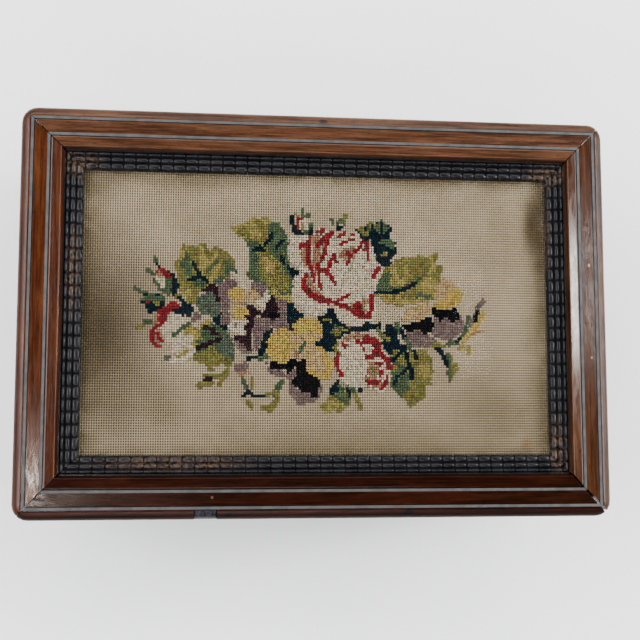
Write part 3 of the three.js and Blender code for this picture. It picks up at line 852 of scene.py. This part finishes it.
def dark_leaves():
    fill("night", (-13, 5), (-10.5, 4.5), (-10, 1), (-7, 0.5), (-9, -2), (-10.5, -8), (-12.5, -8))
    fill("night", (-23.5, -7.5), (-20, -6.3), (-20, -12), (-22, -16.5), (-25.5, -16), (-24.5, -12))
    fill("leaf", (-25.5, -16), (-22.5, -15.5), (-21, -12.5), (-19.5, -16), (-20.5, -18), (-25, -18))
    line("night", 1.4, (-30, -17.6), (-26.5, -16.8))
    leaf = fill("night", (-9, -1), (1.5, -0.7), (5, 3.2), (7, 0.5), (9, -2), (11, -3.7), (17, -4.2), (26.5, -2.2),
                (26, -5.5), (17, -6.3), (11, -6.7), (9.5, -9), (7, -11), (6, -14), (4, -14.7), (2, -12.5),
                (-1, -12), (2, -6), (1, -3), (-4, -1.5))
    fill("leaf", (5, -7), (7, -4.5), (9.7, -4.7), (9.5, -8), (6.5, -8.8))
    work("olive", leaf & (np.hypot(column - 7.5, row + 7) < 1.6))
    lines("olive", (1.1, (2.5, -2.2), (4.8, -2.5)), (1.2, (10.5, -6.2), (13, -5.3)))
    mass = fill("night", (27.5, -5), (30, -2.7), (32.5, -4), (33, -7), (35, -11), (37, -15), (34.5, -17),
                (30.5, -20), (30.5, -16), (28.5, -13.5), (27.5, -11))
    line("night", 2.0, (34.5, -5), (37, -9))
    lines("leaf", (2.0, (37.5, -9.5), (39, -13)), (1.7, (25, -5.5), (28, -8.5)))
    line("olive", 1.6, (26.5, -8), (29.5, -9.5))
    fill("olive", (30.5, -15.7), (32, -13.8), (35.5, -13), (34, -15.5), within=mass)
    line("leaf", 1.7, (33.5, -3.5), (34, -6.5))


def lower_right_leaf():
    leaf = fill("olive", (31, -21), (33, -17.5), (36, -15), (40, -13), (47, -13.3), (48, -18), (49, -22),
                (48, -27), (46, -28), (45.5, -32), (42, -34), (38, -36), (35.5, -33), (33, -30), (30.5, -27))
    fill("leaf", (31, -21), (33, -17.5), (36, -15), (39, -18), (39.5, -24), (38, -29), (35.5, -33), (33, -30),
         (30.5, -27), within=leaf)
    fill("gold", (41, -19), (46, -18), (48, -22), (47, -27), (41, -27), within=leaf, share=0.5)
    work("olive", leaf & (column < 39), share=0.2)
    lines("night", (1.7, (36.5, -12), (38, -18), (39.5, -22), (39.5, -25)), (1.4, (38.5, -20.5), (35, -23)),
          (1.4, (33.5, -24), (32, -27)), (1.5, (40.5, -14), (41.5, -16.5)))


def bottom_leaf():
    leaf = fill("olive", (0.5, -37), (3, -34), (6, -31), (7.5, -26), (10, -28.5), (13, -29), (14, -33),
                (11.5, -36), (8, -37.6), (3, -38))
    fill("leaf", (7, -26), (10, -28.5), (11, -32), (9, -34), (5.5, -31.5), within=leaf)
    work("gold", leaf & (row < -33), share=0.2)
    fill("night", (7.8, -25), (9, -27.5), (8, -29.3), (5, -31.8), (4.8, -31))
    line("leaf", 2.4, (12, -29), (12.7, -31), (11.5, -34))
    line("night", 1.2, (12.3, -29), (12.7, -31.5))
    line("leaf", 2.0, (14, -29.3), (17, -28.5))
    line("night", 2.0, (16.2, -27.8), (17.5, -29.5))
    line("olive", 1.9, (15, -31), (16.5, -33), (17.5, -36.5))


def great_rose():
    """A full-blown rose: cream petals, dusty rose in the folds and madder along their edges."""
    fill("cream", (-13, 31), (-4, 31), (-1.5, 32), (0, 34.5), (3, 34.5), (6, 32.5), (16, 33.2), (17, 30.5),
         (20, 30), (23, 27), (24.5, 22), (27, 19), (25.5, 12), (22.5, 8), (24, 4), (24, -4.7), (14, -4), (9, -2),
         (5, 2), (1, 0), (-7, 0.5), (-10, 4), (-12, 8), (-11, 13.5), (-8, 17), (-11.5, 20), (-13.5, 25))
    fill("rose", (-8, 24), (-6, 28), (-4.5, 28), (-4.5, 19), (-6.5, 19))
    fill("rose", (-3, 31), (0, 32.3), (1, 29), (0.5, 17), (-2, 14.5), (-3, 20))
    fill("rose", (1.5, 30), (3.6, 30), (2.3, 24), (1.2, 23))
    fill("rose", (-5.5, 15), (-3.5, 14.5), (-1.5, 10.5), (3, 6), (-1, 6.7), (-5.5, 10.5))
    fill("rose", (8.5, 23), (10, 26.5), (15, 27), (17, 25), (15, 21.3), (11, 21.3), share=0.8)
    fill("rose", (10, 3.5), (15, 4), (20.5, 7), (20.5, 1), (14, 1.5))
    fill("rose", (9, 31.5), (15.5, 32.5), (13, 31), share=0.6)
    fill("madder", (-9, 23.8), (-8.5, 27), (-6, 29), (-4.6, 28.7), (-5.5, 26.8), (-7.7, 25.5))
    line("madder", 1.8, (-4, 30.5), (-4.4, 25), (-4.4, 21), (-3, 17), (-1.8, 13.5))
    fill("madder", (-1.2, 32), (0.4, 34.4), (3.2, 34.6), (2.2, 32.2))
    lines("madder", (2.0, (5.5, 32.3), (3, 31), (1, 29.5), (-0.5, 27.5)),
          (1.7, (4, 31), (3, 27), (2.5, 24.5), (1, 21.7)), (1.8, (-0.3, 20), (0, 16.5), (0, 13), (1, 10.8)),
          (1.7, (0, 18), (3, 17), (5, 15.3), (7, 12)), (2.2, (4.8, 21), (3.9, 18.2)),
          (1.3, (6.5, 24), (6.4, 21.7)), (1.2, (7, 20.6), (8, 21)), (1.3, (8.5, 31), (10, 32), (11, 32.4)),
          (1.2, (14.3, 31.8), (15.5, 32.5)), (1.2, (9, 28), (10.5, 29), (12, 29.3)), (1.0, (13, 30), (15, 30)),
          (1.6, (12.6, 24.5), (13.6, 23.5), (13, 21.5), (12, 20.5)), (1.5, (15.5, 25.5), (18, 27.4)),
          (1.1, (18.5, 25.3), (19, 26.2)), (1.9, (18.6, 29.2), (20.5, 28.5), (21, 25.5), (21, 22.5)),
          (1.8, (25.6, 19), (23.5, 15.7)), (1.6, (-5.3, 16), (-6.5, 13)),
          (2.6, (-6.5, 13), (-6.5, 10.7), (-4, 8.2), (0, 6.2), (4.5, 5.2)), (1.5, (4.5, 5.2), (8.5, 4.3)),
          (1.3, (7, 5), (10, 6.5), (13, 8)), (2.0, (9, 4), (12, 3), (15, 1), (18, -0.3)))
    fill("madder", (14.7, 4), (18.5, 5.5), (19, 1.3), (16, 0.6))
    lines("madder", (1.9, (22.3, 8), (22.4, 3), (21.5, -0.5)), (2.2, (16.5, 0.3), (19, -0.8), (21.5, -0.8)))


def small_rose():
    fill("cream", (8, -12), (12, -10), (20, -9), (26, -11), (29, -16), (30.5, -21), (30, -26), (27, -29.7),
         (20, -29.3), (13, -28.5), (8.5, -25), (7, -19))
    fill("rose", (9.5, -10), (12, -7.7), (20, -7.2), (24, -8.6), (20, -9.7), (14, -9.5))
    fill("olive", (6.3, -12.5), (8.3, -10.7), (10, -13.5), (8.3, -16.5), (6.3, -15), share=0.8)
    fill("madder", (8.8, -10), (12.2, -11), (11, -13.2), (9.3, -12.2))
    lines("madder", (1.6, (8, -15.5), (7.3, -19), (8, -21.5), (9.6, -23.7)),
          (1.8, (16, -10.3), (18, -11.3), (20, -10)),
          (3.2, (20, -9.3), (23.5, -10), (25.3, -12.5), (24.5, -14.5)), (1.9, (24.5, -15.8), (20.3, -16.5)),
          (1.2, (18.8, -13), (18.6, -14.3)), (2.5, (27.2, -16.2), (29.3, -18), (30, -20.7)),
          (1.3, (24, -19.5), (26.7, -19.3)), (1.3, (26.6, -22), (26.3, -24)))
    oval("rose", (22.7, -22), 2.6, 3.2)
    work("olive", np.hypot(column - 22.5, row + 21.5) < 1.1)
    line("rose", 1.6, (20, -24), (21, -27.5))
    lines("madder", (1.9, (20.7, -26), (23, -27), (25.6, -26)), (1.8, (29, -24.7), (28.5, -27), (26.6, -28.6)))
    line("rose", 1.2, (23, -28.5), (27, -27))


def yellow_pansy():
    """A pansy with three round yellow petals over two black and mauve ones."""
    fill("mauve", (-22, -18), (-20.3, -21.5), (-16, -21.5), (-13, -24), (-11, -20.5), (-9.5, -24), (-11.5, -28.5),
         (-14, -24.8), (-18, -25), (-21, -23))
    fill("mauve", (-11.5, -27), (-9, -28.5), (-7, -30.5), (-3, -30.5), (-1, -32), (0.3, -28), (1.7, -31),
         (-1, -34), (-5, -35.6), (-9, -35), (-12, -31.5))
    fill("black", (-20.3, -19), (-9, -17.5), (-10, -20), (-11.5, -22.3), (-14.3, -24), (-13.3, -21.7),
         (-16, -21.6), (-20, -22.7))
    fill("black", (-9, -19), (-6.5, -16.5), (-4.5, -19), (-2, -24), (0.3, -25), (0, -29), (-1, -31.6),
         (-2.5, -31.6), (-3, -30.4), (-7, -30.4), (-9, -28), (-11, -27), (-10, -24))
    fill("peach", (-12, -10), (-5, -9), (-2, -14), (-6, -18), (-10, -17.5), (-13, -14))
    left = oval("yellow", (-15.5, -12.3), 6.3, 6.9)
    top = oval("yellow", (-4.5, -6.3), 6.4, 5.6)
    low = oval("yellow", (0.3, -18.8), 5.6, 7.3, 25)
    work("peach", left & (column > -13), share=0.8)
    work("peach", left & (row > -9), share=0.5)
    work("peach", top & (row < -7), share=0.6)
    work("peach", low & (column < 3), share=0.75)
    line("rose", 1.6, (-9.7, -15), (-9, -17))
    line("leaf", 1.7, (-8.3, -14.5), (-6.2, -11.7))


def bouquet():
    """Worked from the back of the bunch to the front, so that a later figure covers an earlier one."""
    for figure in (upper_leaves, left_leaf, upper_left_bud, lower_left_bud, half_open_rose, lower_left_leaves,
                   grey_pansy, upper_right_leaves, top_bud, right_leaf, right_stems, yellow_pansy_at_the_right,
                   great_rose, dark_leaves, lower_right_leaf, bottom_leaf, small_rose, yellow_pansy):
        figure()


def one_stitch():
    """A fat crossed loop of wool: a pad with cut corners, upright to its shoulder and drawn in above."""
    bpy.ops.object.select_all(action="DESELECT")
    bpy.ops.mesh.primitive_circle_add(vertices=STITCH_CORNERS, radius=0.5, fill_type="NGON",
                                      rotation=(0, 0, math.pi / STITCH_CORNERS))
    pad = named("stitch")
    edit(pad)
    bpy.ops.mesh.extrude_region_move(TRANSFORM_OT_translate={"value": (0, 0, STITCH_SHOULDER)})
    bpy.ops.mesh.extrude_region_move(TRANSFORM_OT_translate={"value": (0, 0, 1 - STITCH_SHOULDER)})
    bpy.ops.transform.resize(value=(STITCH_TOP_SHARE, STITCH_TOP_SHARE, 1.0), center_override=(0, 0, 1))
    face_outwards()
    settle(pad)
    pad.scale = (STITCH_WIDTH, STITCH_LENGTH, STITCH_HEIGHT)
    settle(pad)
    return pad


def wool_stitches(finish):
    """A copy of the one stitch over each worked crossing, each copy dyed and leaning its own way."""
    pad = one_stitch()
    shape = np.array([v.co for v in pad.data.vertices])
    faces = [list(f.vertices) for f in pad.data.polygons]
    bpy.data.objects.remove(pad)
    worked = chart != BARE
    count = worked.sum()
    points = shape[None] * (1 + chance.normal(0, STITCH_PUFF, (count, 1, 3)))
    points[:, :, 0] += column[worked][:, None] * WARP_PITCH
    points[:, :, 1] += row[worked][:, None] * WEFT_PITCH
    points[:, :, 2] += CANVAS_LOW.z + STITCH_FOOT
    points[:, :, :2] += chance.normal(0, STITCH_LEAN, (count, 1, 2))
    mesh = bpy.data.meshes.new("wool_stitches")
    mesh.from_pydata(points.reshape(-1, 3).tolist(), [],
                     [[i + n * len(shape) for i in f] for n in range(count) for f in faces])
    dyes = np.array([paint(code) for code in DYES.values()])[chart[worked]]
    dyes[:, :3] *= 1 + chance.normal(0, DYE_SPREAD, (count, 1)) + chance.normal(0, HUE_SPREAD, (count, 3))
    colours = mesh.color_attributes.new("dye", "FLOAT_COLOR", "POINT")
    colours.data.foreach_set("color", np.repeat(np.clip(dyes, 0, 1), len(shape), axis=0).ravel())
    stitches = bpy.data.objects.new("wool_stitches", mesh)
    bpy.context.scene.collection.objects.link(stitches)
    smooth(stitches, 80)
    finish_piece(stitches, finish, "canvas_work")
    return stitches


# Camera, floor and light

LENS_PIXELS = 1100
FRAME_PIXELS = 640
SENSOR = 36.0
CAMERA_PLACE = Vector((-60.3, -57.6, 636.5)) * MM
CAMERA_AIM = Vector((-0.29, -3.39, 113.0)) * MM
CAMERA_UP = Vector((-0.0115, 0.9948, 0.1016))


def camera():
    data = bpy.data.cameras.new("camera")
    data.sensor_width = SENSOR
    data.lens = LENS_PIXELS / FRAME_PIXELS * SENSOR
    eye = bpy.data.objects.new("camera", data)
    bpy.context.scene.collection.objects.link(eye)
    back = (CAMERA_PLACE - CAMERA_AIM).normalized()
    right = CAMERA_UP.cross(back).normalized()
    turn = Matrix((right, back.cross(right), back)).transposed().to_4x4()
    eye.matrix_world = Matrix.Translation(CAMERA_PLACE) @ turn
    bpy.context.scene.camera = eye


def lamp(name, place, aim, size, watts, tint):
    data = bpy.data.lights.new(name, "AREA")
    data.shape = "RECTANGLE"
    data.size, data.size_y = size
    data.energy = watts
    data.color = paint(tint)[:3]
    light = bpy.data.objects.new(name, data)
    bpy.context.scene.collection.objects.link(light)
    light.location = place
    light.rotation_euler = (Vector(aim) - Vector(place)).to_track_quat("-Z", "Y").to_euler()


# Lamps that face down from the ceiling: place and size in metres, watts and tint. The first four light the room
# and stand clear of what the lid mirrors, and the glows stand where the rails shine
CEILING = 1.8
CEILING_LAMPS = [
    ("ceiling behind", (0.1, 1.6), (3.0, 1.6), 77, "#fffaf4"),
    ("ceiling left", (-1.5, 0.2), (1.15, 1.6), 86, "#fdfdff"),
    ("ceiling right", (1.7, 0.2), (0.9, 1.6), 84, "#f8fbff"),
    ("ceiling in front", (-0.4, -1.25), (1.6, 0.75), 35, "#fdfdff"),
    ("left glow", (-0.375, -0.155), (0.04, 0.08), 2.7, "#fff6ea"),
    ("front left glow", (-0.2, -0.18), (0.24, 0.09), 0.25, "#fff6ea"),
    ("right glow", (0.76, 0.25), (0.1, 0.3), 2.2, "#ffffff"),
]
FLOOR_SIZE = 8.0
ROOM_GLOW = 0.15


def studio():
    """A pale floor in a dark room, lit from the ceiling all round and by a low window at the right."""
    bpy.ops.object.select_all(action="DESELECT")
    bpy.ops.mesh.primitive_plane_add(size=FLOOR_SIZE)
    floor = named("floor")
    floor.data.materials.append(floor_paint())
    world = bpy.data.worlds.new("room")
    world.use_nodes = True
    glow = world.node_tree.nodes["Background"].inputs
    glow["Color"].default_value = paint("#c4c8cc")
    glow["Strength"].default_value = ROOM_GLOW
    bpy.context.scene.world = world
    for name, (x, y), size, watts, tint in CEILING_LAMPS:
        lamp(name, (x, y, CEILING), (x, y, 0), size, watts, tint)
    lamp("right window", (1.2, 0.15, 0.6), (0.13, 0.03, 0.11), (0.18, 0.3), 13.0, "#fffaf4")


# One rosewood in four tones: the front is set darker, partly a painted shade, and the back lighter and greyer,
# partly a painted haze of reflected light
WOODS = {
    "front": rosewood("rosewood, front", 0, (7, 3, 0), "#110602", "#220b05", "#33150b", 0.1, FRONT_MARKS),
    "back": rosewood("rosewood, back", 0, (340, 55, 0), "#29170d", "#4c2f1f", "#5d402d", 0.17, BACK_MARKS),
    "left": rosewood("rosewood, left", math.pi / 2, (90, 130, 0), "#260e05", "#421f0c", "#542d15", 0.2),
    "right": rosewood("rosewood, right", math.pi / 2, (510, 250, 0), "#241108", "#3f2412", "#51321c", 0.2,
                      RIGHT_MARKS),
}
PEWTER = pewter()
EBONY = ebonised()
COTTON = canvas_cotton()

for side in SIDES:
    eased("lid_rail_" + side, RAIL_EASE, WOODS[side], "rosewood")
    eased("wall_" + side, WALL_EASE, WOODS[side], "rosewood")
    ripple_slip(side, EBONY)
    for ring in ("outer", "inner"):
        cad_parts["stringing_" + ring + "_" + side].data.materials[0] = PEWTER
eased("base_board", BASE_EASE, WOODS["front"], "rosewood")
eased("lid_edge_patch", PATCH_EASE, stopping_wax(), "filler")
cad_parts["lid_glass"].data.materials[0] = window_glass()
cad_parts["backing_board"].data.materials[0] = deal()

canvas_length = CANVAS_HIGH.x - CANVAS_LOW.x
canvas_width = CANVAS_HIGH.y - CANVAS_LOW.y
warp = woven("canvas_warp", canvas_width, canvas_length, WEFT_PITCH, WARP_PITCH, True, 0, COTTON)
weft = woven("canvas_weft", canvas_length, canvas_width, WARP_PITCH, WEFT_PITCH, False, 90, COTTON)
bouquet()
stitches = wool_stitches(wool())
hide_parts("needlepoint")

camera()
studio()
